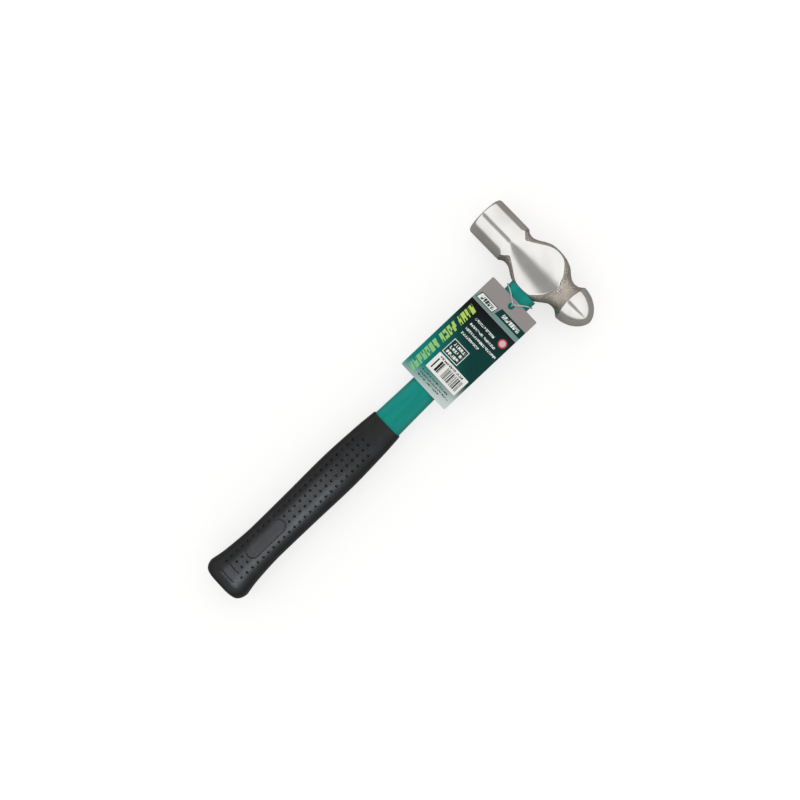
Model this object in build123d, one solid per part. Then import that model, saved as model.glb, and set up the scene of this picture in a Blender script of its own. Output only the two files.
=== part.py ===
"""Ball peen hammer: a forged steel head bonded to a jacketed fibreglass handle with a rubber grip.

The hammer lies on its side. +Z is up, the handle runs along Y with the head at the +Y end, and
the head runs along X with the striking face towards -X and the ball towards +X. The pieces are
drawn about the point where the head's axis crosses the handle's, and are then moved so that the
origin is at the middle of the bottom of the hammer's box.
"""

import os
from math import acos, atan2, cos, degrees, hypot, sin, tan

from build123d import *

# Driving dimensions, in millimetres. The head:
OVERALL_LENGTH = 330.0
EYE_TOP = 19.9
EYE_BOTTOM = -17.8
FACE_X = -58.5
FACE_CROWN = 0.7
FACE_ROUND = 2.3
POLL_RADIUS = 15.1
POLL_END_X = -31.5
POLL_NECK_X = -24.9
POLL_NECK_RADIUS = 13.3
BALL_NECK_X = 19.5
BALL_NECK_RADIUS = 11.0
BALL_RIM_X = 27.6
BALL_RIM_RADIUS = 14.3
BALL_TIP_X = 46.7
CHEEK_THICKNESS = 22.6
CHEEK_RADIUS = 18.15
BARREL_RADIUS = 22.9
BOSS_MIDDLE_X = -3.1

# The eye through the head (length along the head, width), and what is bonded in it.
EYE_MOUTH = (19.0, 13.2)
EYE_CROWN = (21.4, 14.6)
BOND_TOP = 17.4
CORE_SIZE = (14.6, 9.4)
CORE_END = -300.0

# The jacket: waisted between the head and the grip.
SHAFT_THICKNESS = 17.6
SHAFT_CORNER = 6.8
SHAFT_TOP_WIDTH = 22.1
SHAFT_WAIST_WIDTH = 20.4
SHAFT_WAIST_Y = -97.0
SHAFT_ROOT_WIDTH = 22.5
GRIP_TOP = -149.0
JACKET_END = -303.0

# The grip's stations along the handle: distance from the head's axis, width, thickness, corner
# radius, and how far the middle leans along the head.
GRIP_STATIONS = [
    (GRIP_TOP, 24.6, 20.2, 8.4),
    (-166.0, 27.2, 22.7, 9.6),
    (-199.0, 29.5, 24.9, 10.6),
    (-233.0, 28.5, 24.0, 10.4),
    (-266.0, 28.0, 23.6, 10.2),
    (-291.2, 31.0, 26.4, 11.4),
    (-302.8, 34.7, 30.0, 12.8),
]
BUTT_STATION = (-307.3, 32.4, 27.6, 11.6)
BUTT_FLAT = (25.2, 20.4, 8.6)

# The hang tag and its string.
TAG_WIDTH = 43.6
TAG_LENGTH = 87.0
TAG_THICKNESS = 0.5
TAG_TOP = -25.8
TAG_MIDDLE_X = 0.6
TAG_TURN = -0.8
TAG_HOLE_DIAMETER = 4.7
TAG_HOLE_INSET = 5.1
TAG_HOLE_OFFSET = 1.5
TAG_TOP_GAP = 1.2
TAG_END_GAP = 0.3
STRING_DIAMETER = 0.8
STRING_GAP = 0.1
STRING_Y = -21.4
SHOULDER_Y = -22.0
FOLD_Y = -22.9
FOLD_LEFT_X = -7.6
FOLD_RIGHT_X = 10.4
STRAND_SPACING = 0.84
STRING_TRIM = 0.45
KNOT_RADIUS = 1.15
KNOT_HEIGHT = 1.0
KNOT_ROUND = 0.4

# Worked out from the driving dimensions.
BUTT_Y = EYE_TOP - OVERALL_LENGTH
SHAFT_SIDE = SHAFT_THICKNESS / 2
STRING_RADIUS = STRING_DIAMETER / 2
TAG_UNDERSIDE = SHAFT_SIDE + TAG_TOP_GAP
TAG_LEAN = degrees(atan2(TAG_TOP_GAP - TAG_END_GAP, TAG_LENGTH))
FOLD_Z = TAG_UNDERSIDE + TAG_THICKNESS + STRING_RADIUS + STRING_GAP
HOLE_X = TAG_MIDDLE_X + TAG_HOLE_OFFSET
HOLE_Y = TAG_TOP - TAG_HOLE_INSET
STRAND_Y = HOLE_Y + TAG_HOLE_DIAMETER / 2 - STRAND_SPACING / 2 - STRING_RADIUS - STRING_GAP
ORIGIN = Vector((FACE_X + BALL_TIP_X) / 2, (EYE_TOP + BUTT_Y) / 2, -POLL_RADIUS)
TO_FRAME = Location(-ORIGIN)


def across(y):
    """The plane square to the handle at a distance y along it, with its own X along the head."""
    return Plane(origin=(0, y, 0), x_dir=(1, 0, 0), z_dir=(0, -1, 0))


def rod(section, start, end):
    """A straight bar of one section along the handle, from start down to end."""
    return extrude(across(start) * section, amount=start - end)


def shaft_section(width):
    """The jacket's section: a rectangle with well rounded corners."""
    return RectangleRounded(width, SHAFT_THICKNESS, SHAFT_CORNER)


def turned_body():
    """The poll, both necks and the ball, which are round about the head's axis."""
    face_edge = FACE_X + FACE_CROWN
    round_start = (face_edge, POLL_RADIUS - FACE_ROUND)
    round_end = (face_edge + FACE_ROUND, POLL_RADIUS)
    poll_end = (POLL_END_X, POLL_RADIUS)
    poll_neck = (POLL_NECK_X, POLL_NECK_RADIUS)
    ball_neck = (BALL_NECK_X, BALL_NECK_RADIUS)
    ball_rim = (BALL_RIM_X, BALL_RIM_RADIUS)
    dome = [(36.3, 12.3), (42.7, 8.2)]
    outline = [
        Spline((FACE_X, 0), round_start, tangents=[(0, 1), (0.1, 1)]),
        TangentArc(round_start, round_end, tangent=(0, 1)),
        Line(round_end, poll_end),
        Spline(poll_end, poll_neck, tangents=[(1, -0.1), (1, 0)]),
        Line(poll_neck, ball_neck),
        Spline(ball_neck, ball_rim, tangents=[(1, 0), (1, 0.1)]),
        Spline(ball_rim, *dome, (BALL_TIP_X, 0), tangents=[(1, -0.1), (0, -1)]),
        Line((BALL_TIP_X, 0), (FACE_X, 0)),
    ]
    return revolve(make_face(outline), axis=Axis.X)


def boss():
    """The thick middle of the head round the eye: a barrel with flat cheeks and a domed top."""
    left_shoulder = (-14.7, 17.7)
    right_shoulder = (8.5, 17.7)
    corners = [
        right_shoulder,
        (18.0, 10.5),
        (18.0, -10.5),
        (11.1, EYE_BOTTOM + 1.2),
        (10.1, EYE_BOTTOM),
        (-12.2, EYE_BOTTOM),
        (-14.7, EYE_BOTTOM + 1.1),
        (-24.2, -12.6),
        (-24.2, 12.6),
        left_shoulder,
    ]
    outline = [
        Polyline(*corners),
        ThreePointArc(left_shoulder, (BOSS_MIDDLE_X, EYE_TOP), right_shoulder),
    ]
    side = CHEEK_THICKNESS / 2
    block = extrude(make_face(outline), amount=side, both=True)
    rounding = [
        Polyline((CHEEK_RADIUS, side), (0, side), (0, -side), (CHEEK_RADIUS, -side)),
        ThreePointArc((CHEEK_RADIUS, -side), (BARREL_RADIUS, 0), (CHEEK_RADIUS, side)),
    ]
    barrel = revolve(Plane.XZ * make_face(rounding), axis=Axis.Z)
    return block & (Pos(BOSS_MIDDLE_X, 0, 0) * barrel)


def eye_bore():
    """The tapered hole through the head that the handle is bonded into, wider at its top."""
    mouth = across(EYE_BOTTOM) * Ellipse(EYE_MOUTH[0] / 2, EYE_MOUTH[1] / 2)
    crown = across(EYE_TOP + 1) * Ellipse(EYE_CROWN[0] / 2, EYE_CROWN[1] / 2)
    return loft([crown, mouth])


def core_bar():
    """The solid fibreglass bar that carries the load from the head to the grip."""
    return rod(Ellipse(CORE_SIZE[0] / 2, CORE_SIZE[1] / 2), BOND_TOP, CORE_END)


def hammer_head():
    """The forging, with the eye cut through it."""
    return turned_body() + boss() - eye_bore()


def eye_bond():
    """The epoxy that fills the eye round the core, level just below the top of the head."""
    depth = BOND_TOP - EYE_BOTTOM
    slice_box = Pos(0, BOND_TOP - depth / 2, 0) * Box(depth, depth, depth)
    return (eye_bore() & slice_box & boss()) - core_bar()


def shaft_jacket():
    """The coloured jacket moulded over the core: waisted where bare, straight inside the grip."""
    bare = loft(
        [
            across(EYE_BOTTOM) * shaft_section(SHAFT_TOP_WIDTH),
            across(SHAFT_WAIST_Y) * shaft_section(SHAFT_WAIST_WIDTH),
            across(GRIP_TOP) * shaft_section(SHAFT_ROOT_WIDTH),
        ]
    )
    return bare + rod(shaft_section(SHAFT_ROOT_WIDTH), GRIP_TOP, JACKET_END) - core_bar()


def rubber_grip():
    """The moulded sleeve: a lip at its top, a palm swell, a flared butt and a closed, flat end."""
    sections = [across(y) * RectangleRounded(*size) for y, *size in GRIP_STATIONS]
    butt_y, *butt_size = BUTT_STATION
    butt = across(butt_y) * RectangleRounded(*butt_size)
    end = across(BUTT_Y) * RectangleRounded(*BUTT_FLAT)
    sleeve = loft(sections) + loft([sections[-1], butt, end], ruled=True)
    return sleeve - rod(shaft_section(SHAFT_ROOT_WIDTH), GRIP_TOP, JACKET_END)


def hang_tag():
    """The card, punched near its top edge, leaning down until its far end is on the shaft."""
    card = Pos(0, -TAG_LENGTH / 2) * RectangleRounded(TAG_WIDTH, TAG_LENGTH, 1.0)
    card -= Pos(TAG_HOLE_OFFSET, -TAG_HOLE_INSET) * Circle(TAG_HOLE_DIAMETER / 2)
    flat = extrude(card, amount=TAG_THICKNESS)
    hung = Pos(TAG_MIDDLE_X, TAG_TOP, TAG_UNDERSIDE) * Rot(TAG_LEAN, 0, 0)
    about_hole = Pos(TAG_HOLE_OFFSET, -TAG_HOLE_INSET, 0)
    return hung * about_hole * Rot(0, 0, TAG_TURN) * about_hole.inverse() * flat


def shoulder(fold_x):
    """Where the string's straight runs up the shaft's side and over to the fold would cross."""
    side = 1 if fold_x > 0 else -1
    radius = SHAFT_CORNER + STRING_RADIUS + STRING_GAP
    middle_x = SHAFT_TOP_WIDTH / 2 - SHAFT_CORNER
    middle_z = SHAFT_SIDE - SHAFT_CORNER
    away_x = side * fold_x - middle_x
    away_z = FOLD_Z - middle_z
    reach = hypot(away_x, away_z)
    turn = atan2(away_z, away_x) - acos(radius / reach)
    return side * (middle_x + radius), SHOULDER_Y, middle_z + radius * (1 - cos(turn)) / sin(turn)


def fold_end(fold_x, towards):
    """Where a run of string stops, just short of the line that the card folds up about."""
    fold = Vector(fold_x, FOLD_Y, FOLD_Z)
    return fold + (Vector(*towards) - fold).normalized() * STRING_TRIM


def tube(path):
    """The string's round section along a path."""
    start = Plane(origin=path @ 0, z_dir=path % 0)
    return sweep(start * Circle(STRING_RADIUS), path=path)


def string_loop():
    """The part of the string that goes round the back of the shaft, from one fold to the other."""
    offset = STRING_RADIUS + STRING_GAP
    side_x = SHAFT_TOP_WIDTH / 2 + offset
    back_z = -SHAFT_SIDE - offset
    left = shoulder(FOLD_LEFT_X)
    right = shoulder(FOLD_RIGHT_X)
    path = FilletPolyline(
        fold_end(FOLD_LEFT_X, left),
        left,
        (-side_x, STRING_Y, back_z),
        (side_x, STRING_Y, back_z),
        right,
        fold_end(FOLD_RIGHT_X, right),
        radius=SHAFT_CORNER + offset,
    )
    print("string loop length", round(path.length, 1), "bend radius", SHAFT_CORNER + offset)
    return tube(path)


def string_front():
    """The two strands that cross the card's margin, go down its hole, and end in a knot below."""
    knot_z = SHAFT_SIDE + STRING_GAP + KNOT_HEIGHT / 2
    strands = []
    for side, fold_x in ((-1, FOLD_LEFT_X), (1, FOLD_RIGHT_X)):
        down_x = HOLE_X + side * STRAND_SPACING / 2
        turn = (down_x, STRAND_Y, FOLD_Z)
        path = FilletPolyline(
            fold_end(fold_x, turn),
            turn,
            (down_x, STRAND_Y, knot_z),
            radius=STRING_DIAMETER,
        )
        print("string front length", round(path.length, 1))
        strands.append(tube(path))
    knot = Cylinder(KNOT_RADIUS, KNOT_HEIGHT)
    knot = fillet(knot.edges().filter_by(GeomType.CIRCLE), KNOT_ROUND)
    return Pos(HOLE_X, STRAND_Y, knot_z) * knot + strands


def main():
    os.makedirs("parts", exist_ok=True)
    pieces = {
        "hammer_head": hammer_head(),
        "eye_bond": eye_bond(),
        "fibreglass_core": core_bar(),
        "shaft_jacket": shaft_jacket(),
        "rubber_grip": rubber_grip(),
        "hang_tag": hang_tag(),
        "string_loop": string_loop(),
        "string_front": string_front(),
    }
    for name, piece in pieces.items():
        print(name, round(piece.volume), "mm3")
        export_step(TO_FRAME * piece, f"parts/{name}.step")
    print("fold axis", Vector(0, FOLD_Y, FOLD_Z) - ORIGIN)
    print("strands", Vector(HOLE_X, STRAND_Y, FOLD_Z) - ORIGIN, "lean", TAG_LEAN)
    print("butt flat", Vector(0, BUTT_Y, 0) - ORIGIN, "shaft", Vector(0, 0, 0) - ORIGIN)


main()
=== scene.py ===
import math
from functools import partial

import bmesh
import bpy
import numpy as np
from mathutils import Matrix, Vector, noise
from mathutils.bvhtree import BVHTree


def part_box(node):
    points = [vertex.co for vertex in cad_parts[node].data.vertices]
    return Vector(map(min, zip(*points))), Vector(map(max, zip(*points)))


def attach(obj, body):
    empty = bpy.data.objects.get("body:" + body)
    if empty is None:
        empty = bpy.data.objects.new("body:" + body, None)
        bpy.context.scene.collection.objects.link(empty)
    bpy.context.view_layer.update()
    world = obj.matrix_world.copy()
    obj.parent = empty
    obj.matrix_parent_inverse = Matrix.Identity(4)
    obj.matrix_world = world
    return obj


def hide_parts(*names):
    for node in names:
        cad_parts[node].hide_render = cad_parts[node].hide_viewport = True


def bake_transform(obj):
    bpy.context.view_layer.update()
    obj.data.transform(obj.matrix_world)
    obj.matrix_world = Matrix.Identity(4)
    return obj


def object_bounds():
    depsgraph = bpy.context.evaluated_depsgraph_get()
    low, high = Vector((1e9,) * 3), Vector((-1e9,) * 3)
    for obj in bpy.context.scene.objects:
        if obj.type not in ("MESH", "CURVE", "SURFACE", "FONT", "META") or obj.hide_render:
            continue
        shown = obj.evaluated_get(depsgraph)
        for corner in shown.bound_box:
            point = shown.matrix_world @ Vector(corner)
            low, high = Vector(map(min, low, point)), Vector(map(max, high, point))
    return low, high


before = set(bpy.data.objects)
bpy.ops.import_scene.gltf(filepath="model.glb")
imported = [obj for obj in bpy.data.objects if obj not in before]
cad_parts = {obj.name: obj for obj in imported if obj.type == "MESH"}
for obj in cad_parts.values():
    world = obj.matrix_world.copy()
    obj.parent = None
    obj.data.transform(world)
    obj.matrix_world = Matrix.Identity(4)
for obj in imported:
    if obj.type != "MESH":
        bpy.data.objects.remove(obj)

# ---- The studio: camera, lights and floor ---------------------------------------------------
# The hammer lies on a pale floor inside a tent of pale cloth, and is looked at from almost
# straight above, with the butt at the lower left. One strip light adds a sheen to the grip.
cad_low, cad_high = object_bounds()
MM = 0.001
head_low, head_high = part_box("hammer_head")
FACE_TO_AXIS = 58.5 * MM
EYE_TOP = 19.9 * MM
axis_point = Vector(
    (head_low.x + FACE_TO_AXIS, head_high.y - EYE_TOP, (head_low.z + head_high.z) / 2)
)


def at(x, y, z):
    """A point given in millimetres from where the head's axis crosses the handle's."""
    return axis_point + Vector((x, y, z)) * MM


HANDLE_ANGLE = math.radians(44.06)
TILT_TO_BALL = math.radians(6.5)
TILT_TO_HEAD = math.radians(4.0)
CAMERA_DISTANCE = 1.31
CAMERA_LENS = 85.0
look_at = at(-5.9, -131.1, 0)
back = Vector((math.tan(TILT_TO_BALL), math.tan(TILT_TO_HEAD), 1)).normalized()
handle_up = (Vector((0, 1, 0)) - back * back.y).normalized()
ball_way = handle_up.cross(back)
right = math.cos(HANDLE_ANGLE) * handle_up + math.sin(HANDLE_ANGLE) * ball_way
up = math.sin(HANDLE_ANGLE) * handle_up - math.cos(HANDLE_ANGLE) * ball_way
camera_data = bpy.data.cameras.new("camera")
camera_data.lens = CAMERA_LENS
camera = bpy.data.objects.new("camera", camera_data)
bpy.context.scene.collection.objects.link(camera)
camera.matrix_world = Matrix.LocRotScale(
    look_at + back * CAMERA_DISTANCE, Matrix((right, up, back)).transposed(), None
)
bpy.context.scene.camera = camera
bpy.context.scene.view_settings.view_transform = "Standard"


# Each stop of the tent is (degrees from overhead towards the head, brightness). It has a slot
# for the camera near the middle, and an open side past the butt.
TENT = [
    (-90, 0.24), (-76, 0.34), (-64, 1.0), (-17, 1.08), (-11, 0.38), (2, 0.34), (8, 1.08), (89, 0.98)
]
TENT_WARMTH = (1.0, 0.985, 0.965)
PALE = 0.96


def show_camera(tree, camera_shader, other_shader, output):
    """Shows one shader to the camera, and another to all light and all reflections."""
    links = tree.links
    seen = tree.nodes.new("ShaderNodeLightPath")
    mix = tree.nodes.new("ShaderNodeMixShader")
    links.new(seen.outputs["Is Camera Ray"], mix.inputs[0])
    links.new(other_shader.outputs[0], mix.inputs[1])
    links.new(camera_shader.outputs[0], mix.inputs[2])
    links.new(mix.outputs[0], output.inputs["Surface"])


def tent_world():
    """Light by direction: the tent's bands for light and reflections, plain and pale behind."""
    world = bpy.data.worlds.new("studio_tent")
    world.use_nodes = True
    tree = world.node_tree
    nodes, links = tree.nodes, tree.links
    direction = nodes.new("ShaderNodeTexCoord")
    parts = nodes.new("ShaderNodeSeparateXYZ")
    links.new(direction.outputs["Generated"], parts.inputs[0])
    angle = nodes.new("ShaderNodeMath")
    angle.operation = "ARCTAN2"
    links.new(parts.outputs["Y"], angle.inputs[0])
    links.new(parts.outputs["Z"], angle.inputs[1])
    share = nodes.new("ShaderNodeMapRange")
    links.new(angle.outputs[0], share.inputs["Value"])
    share.inputs["From Min"].default_value = -math.pi / 2
    share.inputs["From Max"].default_value = math.pi / 2
    bands = nodes.new("ShaderNodeValToRGB")
    links.new(share.outputs["Result"], bands.inputs["Fac"])
    bands.color_ramp.interpolation = "EASE"
    stops = bands.color_ramp.elements
    for k, (lean, brightness) in enumerate(TENT):
        position = lean / 180 + 0.5
        stop = stops[k] if k < 2 else stops.new(position)
        stop.position = position
        stop.color = (*(brightness * part for part in TENT_WARMTH), 1)
    tent = nodes["Background"]
    links.new(bands.outputs["Color"], tent.inputs["Color"])
    behind = nodes.new("ShaderNodeBackground")
    behind.inputs["Color"].default_value = (PALE, PALE, PALE, 1)
    show_camera(tree, behind, tent, nodes["World Output"])
    return world


bpy.context.scene.world = tent_world()
STRIP_LENGTH = 0.2
STRIP_WIDTH = 0.036
STRIP_POWER = 0.42
STRIP_COLOUR = (0.86, 0.93, 1.0)
STRIP_LEAN = math.radians(20)
STRIP_DISTANCE = 0.21


def strip_light(name, target):
    """A soft strip of light along the handle, aimed at target and leaning towards the ball."""
    data = bpy.data.lights.new(name, "AREA")
    data.shape = "RECTANGLE"
    data.size = STRIP_LENGTH
    data.size_y = STRIP_WIDTH
    data.energy = STRIP_POWER
    data.color = STRIP_COLOUR
    light = bpy.data.objects.new(name, data)
    way = Matrix.Rotation(STRIP_LEAN, 3, "Y") @ Vector((0, 0, 1))
    light.rotation_mode = "QUATERNION"
    light.location = target + way * STRIP_DISTANCE
    light.rotation_quaternion = way.to_track_quat("Z", "X")
    light.visible_camera = False
    bpy.context.scene.collection.objects.link(light)
    return light


grip_light = strip_light("grip_light", at(0, -268, 0))


def new_material(name):
    """An empty node material with its Principled shader: (material, tree, shader)."""
    material = bpy.data.materials.new(name)
    material.use_nodes = True
    tree = material.node_tree
    return material, tree, tree.nodes["Principled BSDF"]


def mesh_object(name, mesh, material):
    """A new piece from a mesh, at the origin, with one material."""
    piece = bpy.data.objects.new(name, mesh)
    bpy.context.scene.collection.objects.link(piece)
    mesh.materials.clear()
    mesh.materials.append(material)
    return piece


def shade(mesh, angle):
    """Smooth shading that breaks at edges sharper than angle, in degrees."""
    mesh.shade_smooth()
    mesh.set_sharp_from_angle(angle=math.radians(angle))


FLOOR_HALF = 6.0


def floor_surface():
    """Plain white paper that stays pale to look at, and gives the steel a grey reflection."""
    material, tree, shader = new_material("pale_floor")
    nodes, links = tree.nodes, tree.links
    shader.inputs["Base Color"].default_value = (0.34, 0.33, 0.315, 1)
    shader.inputs["Roughness"].default_value = 0.95
    shader.inputs["Specular IOR Level"].default_value = 0.0
    paper = nodes.new("ShaderNodeBsdfDiffuse")
    paper.inputs["Color"].default_value = (0.38, 0.38, 0.38, 1)
    glow = nodes.new("ShaderNodeEmission")
    glow.inputs["Strength"].default_value = 0.68
    lit = nodes.new("ShaderNodeAddShader")
    links.new(paper.outputs[0], lit.inputs[0])
    links.new(glow.outputs[0], lit.inputs[1])
    show_camera(tree, lit, shader, nodes["Material Output"])
    return material


floor_mesh = bpy.data.meshes.new("floor")
corner_signs = ((-1, -1), (1, -1), (1, 1), (-1, 1))
floor_corners = [(x * FLOOR_HALF, y * FLOOR_HALF, cad_low.z) for x, y in corner_signs]
floor_mesh.from_pydata(floor_corners, [], [(0, 1, 2, 3)])
mesh_object("floor", floor_mesh, floor_surface())


# ---- The tag's string -----------------------------------------------------------------------
# One clear nylon thread. It goes round the back of the shaft, over both its shoulders, across
# the card's margin and down the card's hole, and is knotted underneath.
STRING_RADIUS = 0.4 * MM
STRING_ROUTE = [
    (2.3, -28.9, 9.3), (1.75, -29.1, 11.1), (-1.2, -26.9, 11.0), (-7.6, -22.9, 10.9),
    (-11.9, -21.9, 6.1), (-11.75, -21.4, -9.5), (11.75, -21.4, -9.5), (12.1, -22.0, 5.6),
    (10.4, -22.9, 10.9), (5.6, -26.6, 11.0), (2.45, -29.1, 11.1), (1.9, -28.9, 9.3),
]


def add_sockets(group, way, kind, *labels):
    """Gives a node group inputs or outputs of one kind."""
    for label in labels:
        group.interface.new_socket(label, in_out=way, socket_type="NodeSocket" + kind)


def grain_group(name):
    """A shared effect: uneven mottling at one size. Puts out a 0 to 1 mask, and a height."""
    group = bpy.data.node_groups.new(name, "ShaderNodeTree")
    add_sockets(group, "INPUT", "Vector", "Vector")
    add_sockets(group, "INPUT", "Float", "Scale", "Detail", "Low", "High")
    add_sockets(group, "OUTPUT", "Float", "Mask", "Height")
    nodes = group.nodes
    source = nodes.new("NodeGroupInput")
    result = nodes.new("NodeGroupOutput")
    texture = nodes.new("ShaderNodeTexNoise")
    ramp = nodes.new("ShaderNodeMapRange")
    ramp.interpolation_type = "SMOOTHSTEP"
    join = group.links.new
    for label in ("Vector", "Scale", "Detail"):
        join(source.outputs[label], texture.inputs[label])
    join(texture.outputs["Fac"], ramp.inputs["Value"])
    join(source.outputs["Low"], ramp.inputs["From Min"])
    join(source.outputs["High"], ramp.inputs["From Max"])
    join(ramp.outputs["Result"], result.inputs["Mask"])
    join(texture.outputs["Fac"], result.inputs["Height"])
    return group


grain = grain_group("mottled_grain")


def add_grain(tree, vector, scale, detail=3.0, low=0.4, high=0.6):
    """Places the shared grain in a material, with its own values."""
    node = tree.nodes.new("ShaderNodeGroup")
    node.node_tree = grain
    tree.links.new(vector, node.inputs["Vector"])
    for label, value in (("Scale", scale), ("Detail", detail), ("Low", low), ("High", high)):
        node.inputs[label].default_value = value
    return node


def object_vector(tree, scale=(1, 1, 1)):
    """Object coordinates, stretched by a Mapping node."""
    coordinates = tree.nodes.new("ShaderNodeTexCoord")
    mapping = tree.nodes.new("ShaderNodeMapping")
    mapping.inputs["Scale"].default_value = scale
    tree.links.new(coordinates.outputs["Object"], mapping.inputs["Vector"])
    return mapping.outputs["Vector"]


def mix_colour(tree, mask, low, high):
    """A colour between two, or between a colour and a socket, by a mask."""
    mix = tree.nodes.new("ShaderNodeMix")
    mix.data_type = "RGBA"
    tree.links.new(mask, mix.inputs["Factor"])
    for socket, value in ((mix.inputs[6], low), (mix.inputs[7], high)):
        if isinstance(value, tuple):
            socket.default_value = (*value, 1)
        else:
            tree.links.new(value, socket)
    return mix.outputs[2]


def spread_value(tree, mask, low, high):
    """A number that runs from low to high as the mask goes from 0 to 1."""
    ramp = tree.nodes.new("ShaderNodeMapRange")
    tree.links.new(mask, ramp.inputs["Value"])
    ramp.inputs["To Min"].default_value = low
    ramp.inputs["To Max"].default_value = high
    return ramp.outputs["Result"]


def add_bump(tree, height, distance, strength=1.0, normal=None):
    """A bump from a height, and from the bump before it if there is one."""
    bump = tree.nodes.new("ShaderNodeBump")
    bump.inputs["Distance"].default_value = distance
    bump.inputs["Strength"].default_value = strength
    tree.links.new(height, bump.inputs["Height"])
    if normal is not None:
        tree.links.new(normal, bump.inputs["Normal"])
    return bump.outputs["Normal"]


def wire_surface(tree, colour, roughness, normal):
    """Joins a material's colour, roughness and normal to its shader."""
    shader = tree.nodes["Principled BSDF"]
    for value, label in ((colour, "Base Color"), (roughness, "Roughness"), (normal, "Normal")):
        tree.links.new(value, shader.inputs[label])


def nylon_material():
    """Clear nylon thread: milky, a little see-through, with the lay of its strands."""
    material, tree, shader = new_material("clear_nylon")
    vector = object_vector(tree)
    twist = add_grain(tree, vector, 2600, 2.0, 0.35, 0.65)
    wire_surface(
        tree,
        mix_colour(tree, twist.outputs["Mask"], (0.72, 0.86, 0.85), (0.95, 0.98, 0.98)),
        spread_value(tree, twist.outputs["Mask"], 0.2, 0.4),
        add_bump(tree, twist.outputs["Height"], 0.0001, 0.5),
    )
    shader.inputs["IOR"].default_value = 1.53
    shader.inputs["Transmission Weight"].default_value = 0.55
    return material


nylon = nylon_material()


def smooth_line(name, route):
    """A smooth open curve that has the route's points as its control points."""
    curve = bpy.data.curves.new(name, "CURVE")
    curve.dimensions = "3D"
    curve.resolution_u = 10
    spline = curve.splines.new("NURBS")
    spline.points.add(len(route) - 1)
    for point, place in zip(spline.points, route):
        point.co = (*at(*place), 1)
    spline.order_u = 3
    spline.use_endpoint_u = True
    return curve


def mesh_of(thing):
    """A plain mesh of what an object looks like with its modifiers or its curve settings."""
    bpy.context.view_layer.update()
    evaluated = thing.evaluated_get(bpy.context.evaluated_depsgraph_get())
    return bpy.data.meshes.new_from_object(evaluated)


def round_tube(curve, radius):
    """A round tube along a curve, and the points that it follows, in order."""
    line = bpy.data.objects.new(curve.name, curve)
    bpy.context.scene.collection.objects.link(line)
    path = [tuple(point.co) for point in mesh_of(line).vertices]
    curve.bevel_depth = radius
    curve.bevel_resolution = 3
    curve.use_fill_caps = True
    mesh = mesh_of(line)
    bpy.data.objects.remove(line)
    return mesh, path


def outward(mesh, join=0.0):
    """Turns a mesh's faces outwards, after joining points closer than join."""
    work = bmesh.new()
    work.from_mesh(mesh)
    if join:
        bmesh.ops.remove_doubles(work, verts=work.verts, dist=join)
    bmesh.ops.recalc_face_normals(work, faces=work.faces)
    work.to_mesh(mesh)
    work.free()
    return mesh


def thread_mesh(mesh):
    """Closes a thread's mesh, turns it outwards, and shades it smooth."""
    shade(outward(mesh, 0.001 * MM), 60)
    return mesh


string_line = smooth_line("tag_string_line", STRING_ROUTE)
string_tube, string_path = round_tube(string_line, STRING_RADIUS)
tag_string = mesh_object("tag_string", thread_mesh(string_tube), nylon)
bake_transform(tag_string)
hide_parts("string_loop", "string_front")


KNOT_MIDDLE = (2.1, -29.45, 9.42)
KNOT_STEPS = 24
KNOT_THREAD = 0.3 * MM


def knot_mesh():
    """A small overhand knot: three thick turns of thread pulled tight against each other."""
    middle_x, middle_y, middle_z = KNOT_MIDDLE
    turns = []
    for i in range(KNOT_STEPS + 1):
        turn = i / KNOT_STEPS * 2 * math.pi
        across = 0.55 * (math.sin(turn) + 1.1 * math.sin(2 * turn))
        along = 0.5 * (math.cos(turn) - 0.9 * math.cos(2 * turn))
        turns.append((middle_x + across, middle_y + along, middle_z - 0.2 * math.sin(3 * turn)))
    mesh, _ = round_tube(smooth_line("string_knot_line", turns), KNOT_THREAD)
    return thread_mesh(mesh)


string_knot = mesh_object("string_knot", knot_mesh(), nylon)
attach(string_knot, "tag_tie")


# ---- The head -------------------------------------------------------------------------------
# One steel forging. The face, the poll, the cheeks and the ball are ground and polished; the
# bands beside the cheeks and both necks keep the grey, pitted skin that the dies left.
FACE_X = -58.5
FACE_CROWN = 0.7
FACE_ROUND = 2.3
POLL_RADIUS = 15.1
POLL_END = -31.5
BALL_START = 27.6
BALL_RADIUS = 14.3
BALL_TIP = 46.7
UNDERSIDE = 17.8
ROUND_STEPS = 208
FAR_OUT = 99.0
UNDERSIDE_ROUND = 0.8
CHEEK_ROUND = 0.35
GRIND_BORDER = 1.3
POLL_GRIND_END = -28.2
BALL_GRIND_START = 25.9
SCALE_HEIGHT = 0.14
# Each list is (distance along the head, value), in millimetres but for the squareness.
SKIN_HEIGHT = [
    (-31.5, 15.1), (-28.6, 14.95), (-27.2, 13.7), (-23.6, 12.7), (-20.5, 13.2), (-18.1, 14.3),
    (-14.2, 16.7), (-10.3, 18.5), (-5.6, 19.6), (-2.0, 19.9), (3.9, 19.4), (7.8, 18.1),
    (11.7, 15.6), (14.8, 13.2), (17.2, 11.6), (20.3, 10.9), (22.7, 11.1), (25.0, 12.3),
    (27.0, 13.9), (27.6, 14.3),
]
SKIN_SIDE = [
    (-31.5, 15.1), (-28.6, 14.9), (-27.2, 13.4), (-23.6, 12.2), (-20.5, 12.05), (-14.2, 12.2),
    (-2.0, 12.5), (7.8, 12.25), (11.7, 12.0), (14.8, 11.2), (17.2, 10.6), (20.3, 10.7),
    (22.7, 11.1), (25.0, 12.3), (27.0, 13.9), (27.6, 14.3),
]
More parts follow.
